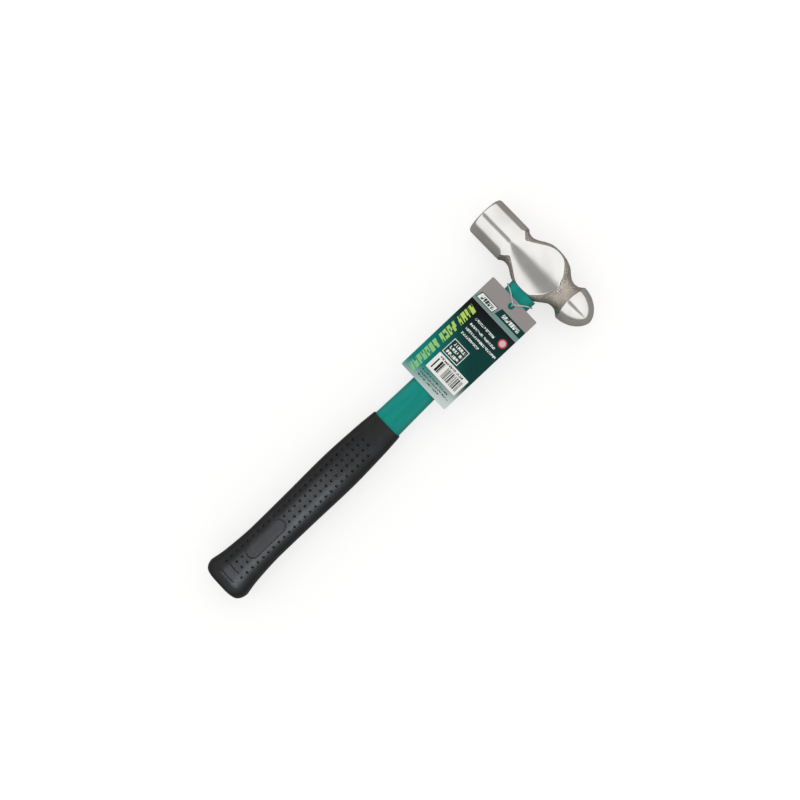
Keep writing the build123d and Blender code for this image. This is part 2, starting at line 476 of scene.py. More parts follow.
SKIN_SQUARENESS = [
    (-31.5, 2.0), (-28.6, 2.1), (-27.2, 2.45), (-23.6, 2.35), (-20.5, 2.8), (-18.1, 3.0),
    (-14.2, 3.1), (-10.3, 3.4), (-5.6, 3.95), (-2.0, 4.2), (3.9, 3.9), (7.8, 3.25),
    (11.7, 2.65), (14.8, 2.0), (27.6, 2.0),
]
CHEEK_HEIGHT = [
    (-32.0, 15.1), (-30.6, 14.5), (-28.0, 12.6), (-25.6, 11.5), (-22.0, 11.1), (-12.0, 11.35),
    (-3.0, 11.6), (8.0, 11.35), (15.3, 10.9),
]
CHEEK_CROWN = [(-32.0, 15.5), (-28.0, 22.0), (-22.0, 40.0), (-10.0, 64.0), (15.3, 88.0)]


def through(points, x):
    """A smooth curve through a few points, read at x: cubic, with no overshoot between them."""
    xs = np.array([p[0] for p in points], float)
    ys = np.array([p[1] for p in points], float)
    steps = np.diff(xs)
    slopes = np.diff(ys) / steps
    tangent = np.zeros(len(xs))
    for i in range(1, len(xs) - 1):
        if slopes[i - 1] * slopes[i] > 0:
            tangent[i] = 2 * slopes[i - 1] * slopes[i] / (slopes[i - 1] + slopes[i])
    tangent[0] = slopes[0]
    tangent[-1] = slopes[-1]
    x = np.clip(x, xs[0], xs[-1])
    k = np.clip(np.searchsorted(xs, x) - 1, 0, len(xs) - 2)
    t = (x - xs[k]) / steps[k]
    rise = (1 + 2 * t) * (1 - t) ** 2 * ys[k] + t * t * (3 - 2 * t) * ys[k + 1]
    bend = t * (1 - t) ** 2 * tangent[k] - t * t * (1 - t) * tangent[k + 1]
    return rise + bend * steps[k]


def soft_least(a, b, width):
    """The smaller of two numbers, rounded over where they cross."""
    mix = np.clip(0.5 + 0.5 * (b - a) / width, 0, 1)
    return b + (a - b) * mix - width * mix * (1 - mix)


def head_rings():
    """(x, radius or None) of each ring from the face to the ball's tip. None is the middle."""
    rings = []
    face_edge = POLL_RADIUS - FACE_ROUND
    for i in range(1, 13):
        reach = i / 12
        rings.append((FACE_X + FACE_CROWN * reach * reach, face_edge * reach))
    for i in range(1, 9):
        turn = i / 8 * math.pi / 2
        x = FACE_X + FACE_CROWN + FACE_ROUND * (1 - math.cos(turn))
        rings.append((x, face_edge + FACE_ROUND * math.sin(turn)))
    start = FACE_X + FACE_CROWN + FACE_ROUND
    poll_rings = 26
    for i in range(1, poll_rings):
        rings.append((start + (POLL_END - start) * i / poll_rings, POLL_RADIUS))
    middle_rings = 140
    for i in range(middle_rings):
        rings.append((POLL_END + (BALL_START - POLL_END) * i / middle_rings, None))
    ball_rings = 44
    for i in range(ball_rings):
        reach = math.sin(i / ball_rings * math.pi / 2)
        radius = BALL_RADIUS * (1 - reach**1.9) ** (1 / 1.75)
        rings.append((BALL_START + (BALL_TIP - BALL_START) * reach, radius))
    return rings


def skin_and_cheek(x, turn):
    """The forging's skin and the ground cheek at x, each as a radius for every turn."""
    across_y = np.cos(turn)
    across_z = np.abs(np.sin(turn))
    power = through(SKIN_SQUARENESS, x)
    tall = (np.abs(across_y) / through(SKIN_HEIGHT, x)) ** power
    wide = (across_z / through(SKIN_SIDE, x)) ** power
    skin = (tall + wide) ** (-1 / power)
    under = np.where(across_y < -1e-3, UNDERSIDE / np.maximum(-across_y, 1e-3), FAR_OUT)
    cheek = through(CHEEK_HEIGHT, x)
    crown = through(CHEEK_CROWN, x)
    flat = np.maximum(across_y**2, 1e-6)
    ground = (np.sqrt(across_z**2 + 2 * cheek * flat / crown) - across_z) * crown / flat
    ground = np.where(x > CHEEK_HEIGHT[-1][0], FAR_OUT, ground)
    return soft_least(skin, under, UNDERSIDE_ROUND), ground


def head_mesh():
    """The head as rings of points about its axis, with each point marked ground or as forged."""
    turn = np.arange(ROUND_STEPS) / ROUND_STEPS * 2 * math.pi
    points = [at(FACE_X, 0, 0)]
    polish = [1.0]
    rings = head_rings()
    for x, radius in rings:
        if radius is None:
            skin, ground = skin_and_cheek(x, turn)
            radii = soft_least(skin, ground, CHEEK_ROUND)
            to_poll = np.clip((POLL_GRIND_END - x) / GRIND_BORDER, 0, 1)
            to_ball = np.clip((x - BALL_GRIND_START) / 1.6, 0, 1)
            on_cheek = np.clip((skin - ground) / GRIND_BORDER + 0.5, 0, 1)
            marks = np.maximum(on_cheek, max(to_poll, to_ball))
        else:
            radii = np.full(ROUND_STEPS, radius)
            marks = np.ones(ROUND_STEPS)
        for angle, reach, mark in zip(turn, radii, marks):
            y = reach * math.cos(angle)
            z = reach * math.sin(angle)
            place = Vector((x, y, z))
            rough = noise.noise(place * 0.55) + 0.6 * noise.noise(place * 1.5)
            lump = 1 + SCALE_HEIGHT * rough * max(0.0, 1 - 2 * mark) / reach
            points.append(at(x, y * lump, z * lump))
            polish.append(float(mark))
    points.append(at(BALL_TIP, 0, 0))
    polish.append(1.0)
    faces = []
    last = 1 + (len(rings) - 1) * ROUND_STEPS
    for i in range(ROUND_STEPS):
        after = (i + 1) % ROUND_STEPS
        faces.append((0, 1 + i, 1 + after))
        faces.append((len(points) - 1, last + after, last + i))
        for k in range(len(rings) - 1):
            here = 1 + k * ROUND_STEPS
            there = here + ROUND_STEPS
            faces.append((here + i, there + i, there + after, here + after))
    mesh = bpy.data.meshes.new("forged_head")
    mesh.from_pydata(points, [], faces)
    attribute = mesh.attributes.new("polish", "FLOAT", "POINT")
    attribute.data.foreach_set("value", polish)
    return outward(mesh)


def between(tree, value, low, high):
    """A mask that rises smoothly from 0 to 1 as a value goes from low to high."""
    ramp = tree.nodes.new("ShaderNodeMapRange")
    ramp.interpolation_type = "SMOOTHSTEP"
    tree.links.new(value, ramp.inputs["Value"])
    ramp.inputs["From Min"].default_value = low
    ramp.inputs["From Max"].default_value = high
    return ramp.outputs["Result"]


def number_node(tree, operation, *values):
    """One Math node: each value is a number or a socket."""
    node = tree.nodes.new("ShaderNodeMath")
    node.operation = operation
    for socket, value in zip(node.inputs, values):
        if isinstance(value, (int, float)):
            socket.default_value = value
        else:
            tree.links.new(value, socket)
    return node.outputs[0]


def steel_material():
    """Polished steel where the head is ground, dull pitted scale where it is as forged, and a
    dark line of painted shade where the two meet, standing for the shade in their crease."""
    material, tree, shader = new_material("forged_steel")
    polish = tree.nodes.new("ShaderNodeAttribute")
    polish.attribute_name = "polish"
    bare = between(tree, polish.outputs["Fac"], 0.47, 0.54)
    # Painted shade: a mask for the band of forged skin just beside the ground areas.
    border_shade = between(tree, polish.outputs["Fac"], 0.2, 0.46)
    vector = object_vector(tree)
    along = object_vector(tree, (0.06, 1, 1))
    brush = add_grain(tree, along, 1500, 2.0, 0.3, 0.7)
    cloud = add_grain(tree, vector, 55, 2.0, 0.35, 0.65)
    scale = add_grain(tree, vector, 850, 4.0, 0.4, 0.6)
    patch = add_grain(tree, vector, 210, 3.0, 0.38, 0.62)
    bright = mix_colour(tree, cloud.outputs["Mask"], (0.76, 0.755, 0.745), (0.84, 0.835, 0.825))
    dull = mix_colour(tree, scale.outputs["Mask"], (0.36, 0.33, 0.3), (0.66, 0.62, 0.58))
    warm = mix_colour(tree, patch.outputs["Mask"], dull, (0.5, 0.45, 0.4))
    # The forged colour turns to a dark painted shade along the ground areas' edge, for the shade in
    # the crease there.
    skin = mix_colour(tree, border_shade, warm, (0.13, 0.115, 0.1))
    smooth = spread_value(tree, brush.outputs["Mask"], 0.11, 0.17)
    coarse = spread_value(tree, scale.outputs["Mask"], 0.52, 0.38)
    blend = tree.nodes.new("ShaderNodeMix")
    for value, socket in ((bare, 0), (coarse, 2), (smooth, 3)):
        tree.links.new(value, blend.inputs[socket])
    forged = number_node(tree, "SUBTRACT", 1, bare)
    pits = number_node(tree, "MULTIPLY", scale.outputs["Height"], forged)
    lines = add_bump(tree, brush.outputs["Height"], 0.00002, 0.25)
    wire_surface(
        tree,
        mix_colour(tree, bare, skin, bright),
        blend.outputs[0],
        add_bump(tree, pits, 0.0006, 1.0, lines),
    )
    shader.inputs["Metallic"].default_value = 1.0
    return material


def loft_mesh(name, points, around):
    """A closed loft, turned outwards, through rings with the same number of points around."""
    last = len(points) - around
    faces = [tuple(range(around)), tuple(reversed(range(last, len(points))))]
    for start in range(0, last, around):
        for i in range(around):
            here = start + i
            after = start + (i + 1) % around
            faces.append((here, here + around, after + around, after))
    mesh = bpy.data.meshes.new(name)
    mesh.from_pydata(points, [], faces)
    return outward(mesh)


def tapered_plug(name, low, high):
    """A closed oval plug along the handle: low and high are (y, length, width) in millimetres."""
    steps = 72
    points = []
    for y, length, width in (low, high):
        for i in range(steps):
            angle = i / steps * 2 * math.pi
            points.append(at(length / 2 * math.cos(angle), y, width / 2 * math.sin(angle)))
    return loft_mesh(name, points, steps)


def cut_away(piece, cutter_mesh):
    """Takes the cutter's shape out of a piece, and puts the result in the piece's own mesh."""
    cutter = bpy.data.objects.new("cutter", cutter_mesh)
    bpy.context.scene.collection.objects.link(cutter)
    cut = piece.modifiers.new("cut", "BOOLEAN")
    cut.operation = "DIFFERENCE"
    cut.solver = "EXACT"
    cut.object = cutter
    mesh = mesh_of(piece)
    piece.modifiers.remove(cut)
    piece.data = mesh
    bpy.data.objects.remove(cutter)


steel = steel_material()
forged_head = mesh_object("forged_head", head_mesh(), steel)
cut_away(forged_head, tapered_plug("eye", (-19.5, 18.9, 13.1), (21.5, 21.5, 14.7)))
shade(forged_head.data, 50)
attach(forged_head, "hammer")
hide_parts("hammer_head")


# ---- The handle's core, and the epoxy that holds the head -----------------------------------
# A rod of glass fibres in resin runs the handle's whole length. It was pushed up through the
# head's eye, and the eye was then filled round it with amber epoxy, flush a little below the top.
def core_material():
    """Pulled glass fibre: straw-coloured resin with pale fibres along the handle."""
    material, tree, _ = new_material("fibreglass")
    along = object_vector(tree, (1, 0.03, 1))
    fibres = add_grain(tree, along, 2400, 3.0, 0.35, 0.65)
    wire_surface(
        tree,
        mix_colour(tree, fibres.outputs["Mask"], (0.42, 0.36, 0.22), (0.72, 0.68, 0.5)),
        spread_value(tree, fibres.outputs["Mask"], 0.5, 0.35),
        add_bump(tree, fibres.outputs["Height"], 0.0001, 0.6),
    )
    return material


def epoxy_material():
    """Set epoxy: dark amber, glossy, with small bubbles and a wavy surface."""
    material, tree, _ = new_material("epoxy")
    vector = object_vector(tree)
    cloud = add_grain(tree, vector, 260, 2.0, 0.35, 0.65)
    bubbles = tree.nodes.new("ShaderNodeTexVoronoi")
    bubbles.inputs["Scale"].default_value = 900
    tree.links.new(vector, bubbles.inputs["Vector"])
    wire_surface(
        tree,
        mix_colour(tree, cloud.outputs["Mask"], (0.16, 0.075, 0.02), (0.3, 0.16, 0.05)),
        spread_value(tree, cloud.outputs["Mask"], 0.12, 0.28),
        add_bump(tree, bubbles.outputs["Distance"], 0.0002, 0.5),
    )
    return material


def finish_node(name, material):
    """Gives a CAD piece that keeps its shape its real material."""
    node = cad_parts[name]
    node.data.materials.clear()
    node.data.materials.append(material)


finish_node("fibreglass_core", core_material())
finish_node("eye_bond", epoxy_material())


# ---- The teal jacket ------------------------------------------------------------------------
# A smooth teal plastic jacket is moulded over the core, from the head down under the grip. It
# is fairly glossy, with faint flow marks along it.
def jacket_material():
    """Teal moulded plastic, a little darker in its flow marks, with a soft gloss."""
    material, tree, shader = new_material("teal_jacket")
    flow = add_grain(tree, object_vector(tree, (1, 0.12, 1)), 240, 3.0, 0.3, 0.7)
    skin = add_grain(tree, object_vector(tree), 1900, 2.0, 0.35, 0.65)
    wire_surface(
        tree,
        mix_colour(tree, flow.outputs["Mask"], (0.0, 0.243, 0.209), (0.0, 0.281, 0.24)),
        spread_value(tree, flow.outputs["Mask"], 0.24, 0.33),
        add_bump(tree, skin.outputs["Height"], 0.00004, 0.6),
    )
    shader.inputs["Specular IOR Level"].default_value = 0.28
    return material


finish_node("shaft_jacket", jacket_material())


# ---- The rubber grip ------------------------------------------------------------------------
# A sleeve of black rubber moulded over the jacket, waisted for the hand and flared at the butt.
# Rows of small square dimples, an oval groove and two short grooves are pressed into each side.
# Each station is (distance along the handle, width, thickness, corner radius), in millimetres.
GRIP_STATIONS = [
    (-149.0, 24.6, 20.2, 8.4), (-166.0, 27.2, 22.7, 9.6), (-199.0, 29.5, 24.9, 10.6),
    (-233.0, 28.5, 24.0, 10.4), (-266.0, 28.0, 23.6, 10.2), (-291.2, 31.0, 26.4, 11.4),
    (-302.8, 34.7, 30.0, 12.8),
]
GRIP_BORE = (22.4, 17.5, 6.7)
GRIP_LIP = -149.0
BORE_END = -303.0
BUTT_EDGE = -302.8
BUTT_END = -310.1
BUTT_INSET = 4.75
LIP_ROUND = 0.7


def oblong(width, thickness, corner, y, side_steps=6, arc_steps=12):
    """Points of a rounded oblong across the handle, at y, anticlockwise seen from the butt."""
    points = []
    half_x = width / 2 - corner
    half_z = thickness / 2 - corner
    corners = [
        (half_x, half_z, 0), (-half_x, half_z, 90), (-half_x, -half_z, 180), (half_x, -half_z, 270)
    ]
    for k, (x, z, start) in enumerate(corners):
        for i in range(arc_steps + 1):
            angle = math.radians(start + 90 * i / arc_steps)
            points.append((x + corner * math.cos(angle), y, z + corner * math.sin(angle)))
        here = points[-1]
        next_x, next_z, next_start = corners[(k + 1) % 4]
        angle = math.radians(next_start)
        there = (next_x + corner * math.cos(angle), y, next_z + corner * math.sin(angle))
        for i in range(1, side_steps):
            mix = i / side_steps
            points.append(tuple(a + (b - a) * mix for a, b in zip(here, there)))
    return points


def grip_size(y):
    """Width, thickness and corner radius of the grip at y."""
    backwards = GRIP_STATIONS[::-1]
    return [float(through([(s[0], s[k]) for s in backwards], y)) for k in (1, 2, 3)]


def grip_mesh():
    """The sleeve as rings: up its bore, over its lip, down its outside and round the butt."""
    rings = [oblong(*GRIP_BORE, BORE_END), oblong(*GRIP_BORE, GRIP_LIP - 0.3)]
    width, thickness, corner = grip_size(GRIP_LIP)
    for i in range(6):
        turn = i / 5 * math.pi / 2
        inset = LIP_ROUND * (1 - math.sin(turn))
        y = GRIP_LIP - LIP_ROUND * (1 - math.cos(turn))
        rings.append(oblong(width - 2 * inset, thickness - 2 * inset, corner - inset, y))
    length_steps = 150
    start = GRIP_LIP - LIP_ROUND
    for i in range(1, length_steps + 1):
        y = start + (BUTT_EDGE - start) * i / length_steps
        rings.append(oblong(*grip_size(y), y))
    width, thickness, corner = grip_size(BUTT_EDGE)
    butt_steps = 12
    for i in range(1, butt_steps + 1):
        turn = i / butt_steps * math.pi / 2
        inset = BUTT_INSET * (1 - math.cos(turn))
        y = BUTT_EDGE + (BUTT_END - BUTT_EDGE) * math.sin(turn)
        rings.append(oblong(width - 2 * inset, thickness - 2 * inset, corner - inset * 0.9, y))
    points = [at(*p) for ring in rings for p in ring]
    return loft_mesh("rubber_grip", points, len(rings[0]))


RUBBER_BLACK = (0.003, 0.0032, 0.0036)
RUBBER_WORN = (0.006, 0.0066, 0.0075)


def rubber_material():
    """Black moulded rubber: a satin skin with a fine even texture, and greyer worn patches."""
    material, tree, shader = new_material("black_rubber")
    vector = object_vector(tree)
    skin = add_grain(tree, vector, 2800, 2.0, 0.35, 0.65)
    worn = add_grain(tree, vector, 90, 3.0, 0.42, 0.7)
    wire_surface(
        tree,
        mix_colour(tree, worn.outputs["Mask"], RUBBER_BLACK, RUBBER_WORN),
        spread_value(tree, worn.outputs["Mask"], 0.38, 0.44),
        add_bump(tree, skin.outputs["Height"], 0.00006, 0.7),
    )
    shader.inputs["Specular IOR Level"].default_value = 0.32
    return material


rubber = rubber_material()
DIMPLE_ROWS = 26
DIMPLE_PITCH = 5.08
FIRST_ROW = -167.6
INNER_COLUMN = 2.6
OUTER_COLUMN = 7.75
DIMPLE_SIZE = 1.95
DIMPLE_DEPTH = 1.25
DIMPLE_SQUARENESS = 3.2
BADGE_FIRST_ROW = 16
BADGE_LAST_ROW = 22
RAY_LENGTH = 0.1


def dimple_cutter():
    """The pin that presses one dimple: a rounded square with a domed end, pointing down."""
    steps = 16
    rings = [(1.0, 0.9), (0.94, 0.0), (0.86, -0.5), (0.62, -0.85), (0.3, -1.0)]
    points = []
    for share, depth in rings:
        for i in range(steps):
            angle = (i + 0.5) / steps * 2 * math.pi
            c, s = math.cos(angle), math.sin(angle)
            square = abs(c) ** DIMPLE_SQUARENESS + abs(s) ** DIMPLE_SQUARENESS
            reach = share * DIMPLE_SIZE / 2 * square ** (-1 / DIMPLE_SQUARENESS)
            points.append(Vector((reach * c, reach * s, depth * DIMPLE_DEPTH)) * MM)
    mesh = loft_mesh("dimple_cutter", points, steps)
    cutter = bpy.data.objects.new("dimple_cutter", mesh)
    bpy.context.scene.collection.objects.link(cutter)
    return cutter


def dimple_tree():
    """Presses rows of dimples into both sides of the mesh it is given."""
    tree = bpy.data.node_groups.new("grip_dimples", "GeometryNodeTree")
    add_sockets(tree, "INPUT", "Geometry", "Geometry")
    add_sockets(tree, "INPUT", "Object", "Cutter")
    add_sockets(tree, "INPUT", "Int", "Rows")
    add_sockets(tree, "INPUT", "Float", "First row", "Pitch", "Inner column", "Outer column")
    add_sockets(tree, "INPUT", "Float", "Middle", "Height")
    add_sockets(tree, "INPUT", "Material", "Material")
    add_sockets(tree, "OUTPUT", "Geometry", "Geometry")
    source = tree.nodes.new("NodeGroupInput").outputs
    result = tree.nodes.new("NodeGroupOutput")
    join = tree.links.new
    number = partial(number_node, tree)

    def stored(geometry, label, kind, value):
        """Keeps a value on each point under a label: the new geometry, and the value there."""
        store = tree.nodes.new("GeometryNodeStoreNamedAttribute")
        read = tree.nodes.new("GeometryNodeInputNamedAttribute")
        for node in (store, read):
            node.data_type = kind
            node.inputs["Name"].default_value = label
        join(geometry, store.inputs["Geometry"])
        join(value, store.inputs["Value"])
        return store.outputs["Geometry"], read.outputs["Attribute"]

    index = tree.nodes.new("GeometryNodeInputIndex").outputs[0]
    row = number("FLOOR", number("DIVIDE", index, 4))
    column = number("SUBTRACT", index, number("MULTIPLY", row, 4))
    is_outer = number("GREATER_THAN", number("ABSOLUTE", number("SUBTRACT", column, 1.5)), 1)
    side = number("SIGN", number("SUBTRACT", column, 1.5))
    spread = number("SUBTRACT", source["Outer column"], source["Inner column"])
    reach = number("ADD", source["Inner column"], number("MULTIPLY", spread, is_outer))
    across = number("ADD", source["Middle"], number("MULTIPLY", side, reach))
    along = number("SUBTRACT", source["First row"], number("MULTIPLY", row, source["Pitch"]))
    is_inner = number("SUBTRACT", 1, is_outer)
    first = number("MULTIPLY", number("LESS_THAN", row, 0.5), is_outer)
    last = number("MULTIPLY", number("GREATER_THAN", row, DIMPLE_ROWS - 1.5), is_inner)
    after_badge = number("GREATER_THAN", row, BADGE_FIRST_ROW - 0.5)
    before_badge = number("LESS_THAN", row, BADGE_LAST_ROW + 0.5)
    badge = number("MULTIPLY", number("MULTIPLY", after_badge, before_badge), is_inner)
    left_out = number("ADD", number("ADD", first, last), badge)
    cutters = tree.nodes.new("GeometryNodeJoinGeometry")
    for way in (1, -1):
        line = tree.nodes.new("GeometryNodeMeshLine")
        join(number("MULTIPLY", source["Rows"], 4), line.inputs["Count"])
        lifted = tree.nodes.new("ShaderNodeCombineXYZ")
        join(across, lifted.inputs["X"])
        join(along, lifted.inputs["Y"])
        join(number("ADD", source["Height"], RAY_LENGTH / 2 * way), lifted.inputs["Z"])
        ray = tree.nodes.new("GeometryNodeRaycast")
        join(source["Geometry"], ray.inputs["Target Geometry"])
        join(lifted.outputs[0], ray.inputs["Source Position"])
        ray.inputs["Ray Direction"].default_value = (0, 0, -way)
        ray.inputs["Ray Length"].default_value = RAY_LENGTH
        normal = ray.outputs["Hit Normal"]
        spots, lean = stored(line.outputs["Mesh"], "lean", "FLOAT_VECTOR", normal)
        kept = number("LESS_THAN", left_out, 0.5)
        spots, pressed = stored(spots, "pressed", "FLOAT", kept)
        points = tree.nodes.new("GeometryNodeMeshToPoints")
        join(spots, points.inputs["Mesh"])
        join(ray.outputs["Hit Position"], points.inputs["Position"])
        turn = tree.nodes.new("FunctionNodeAlignRotationToVector")
        turn.axis = "Z"
        join(lean, turn.inputs["Vector"])
        info = tree.nodes.new("GeometryNodeObjectInfo")
        join(source["Cutter"], info.inputs["Object"])
        copies = tree.nodes.new("GeometryNodeInstanceOnPoints")
        join(points.outputs["Points"], copies.inputs["Points"])
        join(info.outputs["Geometry"], copies.inputs["Instance"])
        join(turn.outputs["Rotation"], copies.inputs["Rotation"])
        join(number("GREATER_THAN", pressed, 0.5), copies.inputs["Selection"])
        join(copies.outputs["Instances"], cutters.inputs["Geometry"])
    real = tree.nodes.new("GeometryNodeRealizeInstances")
    join(cutters.outputs["Geometry"], real.inputs["Geometry"])
    press = tree.nodes.new("GeometryNodeMeshBoolean")
    press.operation = "DIFFERENCE"
    press.solver = "EXACT"
    join(source["Geometry"], press.inputs["Mesh 1"])
    join(real.outputs["Geometry"], press.inputs["Mesh 2"])
    whole = tree.nodes.new("GeometryNodeRealizeInstances")
    join(press.outputs["Mesh"], whole.inputs["Geometry"])
    paint = tree.nodes.new("GeometryNodeSetMaterial")
    join(whole.outputs["Geometry"], paint.inputs["Geometry"])
    join(source["Material"], paint.inputs["Material"])
    join(paint.outputs["Geometry"], result.inputs["Geometry"])
    return tree


def set_inputs(modifier, values):
    """Sets a Geometry Nodes modifier's inputs, found by their label, through their identifiers."""
    for item in modifier.node_group.interface.items_tree:
        if item.in_out == "INPUT" and item.name in values:
            modifier[item.identifier] = values[item.name]


rubber_grip = mesh_object("grip_sleeve", grip_mesh(), rubber)
pin = dimple_cutter()
dimples = rubber_grip.modifiers.new("dimples", "NODES")
dimples.node_group = dimple_tree()
set_inputs(
    dimples,
    {
        "Cutter": pin,
        "Rows": DIMPLE_ROWS,
        "First row": at(0, FIRST_ROW, 0).y,
        "Pitch": DIMPLE_PITCH * MM,
        "Inner column": INNER_COLUMN * MM,
        "Outer column": OUTER_COLUMN * MM,
        "Middle": axis_point.x,
        "Height": axis_point.z,
        "Material": rubber,
    },
)
dimpled = mesh_of(rubber_grip)
rubber_grip.modifiers.remove(dimples)
rubber_grip.data = dimpled
bpy.data.objects.remove(pin)

BADGE_WIDTH = 9.2
BADGE_TOP = -246.7
BADGE_BOTTOM = -281.3
GROOVE_RADIUS = 0.5
SHORT_GROOVES = [(-294.0, 9.4), (-300.8, 12.8)]


def surface_height(tree, x, y, side):
    """Height of the grip's surface over a point of the handle's middle plane, in millimetres."""
    start = at(x, y, 40 * side)
    hit = tree.ray_cast(start, Vector((0, 0, -side)))[0]
    return (hit.z - axis_point.z) / MM


def groove_cutter(outline, closed, tree, side):
    """A round bar laid on the grip's surface along an outline of (x, y) points."""
    curve = bpy.data.curves.new("groove", "CURVE")
    curve.dimensions = "3D"
    curve.resolution_u = 6
    spline = curve.splines.new("POLY")
    spline.points.add(len(outline) - 1)
    for point, (x, y) in zip(spline.points, outline):
        point.co = (*at(x, y, surface_height(tree, x, y, side)), 1)
    spline.use_cyclic_u = closed
    return outward(round_tube(curve, GROOVE_RADIUS * MM)[0])


def badge_outline():
    """A long oval with round ends, about the middle of the grip."""
    radius = BADGE_WIDTH / 2
    ends = ((BADGE_TOP - radius, 0), (BADGE_BOTTOM + radius, 180))
    outline = []
    for y, start in ends:
        for i in range(13):
            angle = math.radians(start + 180 * i / 12)
            outline.append((radius * math.cos(angle), y + radius * math.sin(angle)))
    return outline


skin_tree = BVHTree.FromObject(rubber_grip, bpy.context.evaluated_depsgraph_get())
for side in (1, -1):
    cutters = [groove_cutter(badge_outline(), True, skin_tree, side)]
    for y, length in SHORT_GROOVES:
        line = [(length * (i / 8 - 0.5), y - 0.25 * math.cos((i / 4 - 1) * 1.5)) for i in range(9)]
        cutters.append(groove_cutter(line, False, skin_tree, side))
    for cutter in cutters:
        cut_away(rubber_grip, cutter)
shade(rubber_grip.data, 38)
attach(rubber_grip, "hammer")
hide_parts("rubber_grip")
# The strip light is shaded from everything but the grip.
lit_by_strip = bpy.data.collections.new("lit_by_strip")
lit_by_strip.objects.link(rubber_grip)
grip_light.light_linking.receiver_collection = lit_by_strip


# ---- The hang tag ---------------------------------------------------------------------------
# A coated card, printed in teal, black and grey, that hangs from its string by one hole. Its
# words are left out: strokes and bars of the same size and colour stand for them. card_place
# is the middle of its top edge, on its underside, and the print is laid out from there.
CARD_WIDTH = 43.6
CARD_THICKNESS = 0.5
CARD_TOP = (0.6, -25.8, 10.0)
CARD_LEAN = math.radians(0.5927)
CARD_TURN = math.radians(-0.8)
hole_in_card = Vector((1.5, -5.1, 0)) * MM
card_place = (
    Matrix.Translation(at(*CARD_TOP))
    @ Matrix.Rotation(CARD_LEAN, 4, "X")
    @ Matrix.Translation(hole_in_card)
    @ Matrix.Rotation(CARD_TURN, 4, "Z")
    @ Matrix.Translation(-hole_in_card)
)
PATCH_INPUTS = (
    "Across", "Down", "Left", "Right", "Top", "Bottom", "Slant", "Pitch", "Rise", "Gap", "Cover",
    "Seed",
)


def patch_group():
    """A shared effect: one printed patch, in millimetres, whole or broken into random strokes."""
    group = bpy.data.node_groups.new("printed_patch", "ShaderNodeTree")
    add_sockets(group, "INPUT", "Float", *PATCH_INPUTS)
    add_sockets(group, "OUTPUT", "Float", "Mask")
    source = group.nodes.new("NodeGroupInput").outputs
    result = group.nodes.new("NodeGroupOutput")
    number = partial(number_node, group)
    shift = number("MULTIPLY", source["Slant"], number("SUBTRACT", source["Down"], source["Top"]))
    across = number("SUBTRACT", source["Across"], shift)
    after_left = number("GREATER_THAN", across, source["Left"])
    before_right = number("LESS_THAN", across, source["Right"])
    below_top = number("GREATER_THAN", source["Down"], source["Top"])
    above_bottom = number("LESS_THAN", source["Down"], source["Bottom"])
    wide = number("MULTIPLY", after_left, before_right)
    tall = number("MULTIPLY", below_top, above_bottom)
    strokes = number("DIVIDE", number("SUBTRACT", across, source["Left"]), source["Pitch"])
    level = number("DIVIDE", number("SUBTRACT", source["Down"], source["Top"]), source["Rise"])
    cell = group.nodes.new("ShaderNodeCombineXYZ")
    group.links.new(number("ADD", number("FLOOR", strokes), source["Seed"]), cell.inputs["X"])
    group.links.new(number("FLOOR", level), cell.inputs["Y"])
    chance = group.nodes.new("ShaderNodeTexWhiteNoise")
    chance.noise_dimensions = "2D"
    group.links.new(cell.outputs[0], chance.inputs["Vector"])
    inked = number("LESS_THAN", chance.outputs["Value"], source["Cover"])
    spaced = number("GREATER_THAN", number("FRACT", number("DIVIDE", strokes, 4)), source["Gap"])
    shown = number("MULTIPLY", inked, spaced)
    mask = number("MULTIPLY", number("MULTIPLY", wide, tall), shown)
    group.links.new(mask, result.inputs["Mask"])
    return group


printed_patch = patch_group()
# How a patch is broken up: stroke width, stroke height, blank share of each four, inked share.
WHOLE = (1.0, 50.0, -1.0, 2.0)
TITLE = (0.95, 2.15, 0.19, 0.8)
WORDS = (0.42, 0.55, 0.14, 0.6)
LABEL = (0.55, 1.6, 0.2, 0.72)
BARS = (0.34, 50.0, -1.0, 0.5)
BLACK = (0.002, 0.003, 0.0035)
DEEP_TEAL = (0.0, 0.045, 0.04)
TEAL = (0.0, 0.22, 0.2)
PALE_TEAL = (0.17, 0.31, 0.29)
PALE_GREY = (0.6, 0.68, 0.67)
HEADER_GREY = (0.31, 0.29, 0.29)
WHITE = (0.86, 0.87, 0.85)
LIME = (0.47, 0.68, 0.13)
GREEN = (0.22, 0.56, 0.24)
PINK = (0.72, 0.5, 0.5)
RED = (0.55, 0.06, 0.09)


